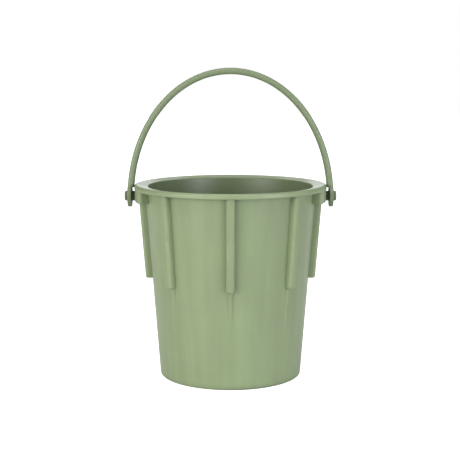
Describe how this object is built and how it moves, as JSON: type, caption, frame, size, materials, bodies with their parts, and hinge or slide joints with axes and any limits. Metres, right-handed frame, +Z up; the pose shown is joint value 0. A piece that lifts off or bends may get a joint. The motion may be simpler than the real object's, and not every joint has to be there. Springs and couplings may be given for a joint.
{
  "type": "florist bucket",
  "caption": "Tapered ribbed plastic bucket with a wide rim flange, side ears and a swinging arched bail handle, for water and cut flower stems.",
  "frame": {"origin": "on the ground, at the centre of the foot ring", "axes": "+Z up along the bucket's axis; the handle's pivot line is parallel to X; -Y is the front; the handle stands upright at rest"},
  "size_m": [0.309, 0.28, 0.4493],
  "materials": {
    "body_plastic": "sage green moulded polypropylene, soft gloss",
    "handle_plastic": "sage green moulded polypropylene, soft gloss",
    "peg_plastic": "sage green moulded nylon, soft gloss"
  },
  "bodies": {
    "bucket": {"bucket_body": "body_plastic", "left_pivot_peg": "peg_plastic", "right_pivot_peg": "peg_plastic"},
    "handle": {"bail_handle": "handle_plastic"}
  },
  "joints": [
    {"name": "handle_swing", "type": "hinge", "parent": "bucket", "child": "handle", "pos_m": [0, 0, 0.264], "axis": [1, 0, 0], "range_deg": [-135, 135]}
  ]
}
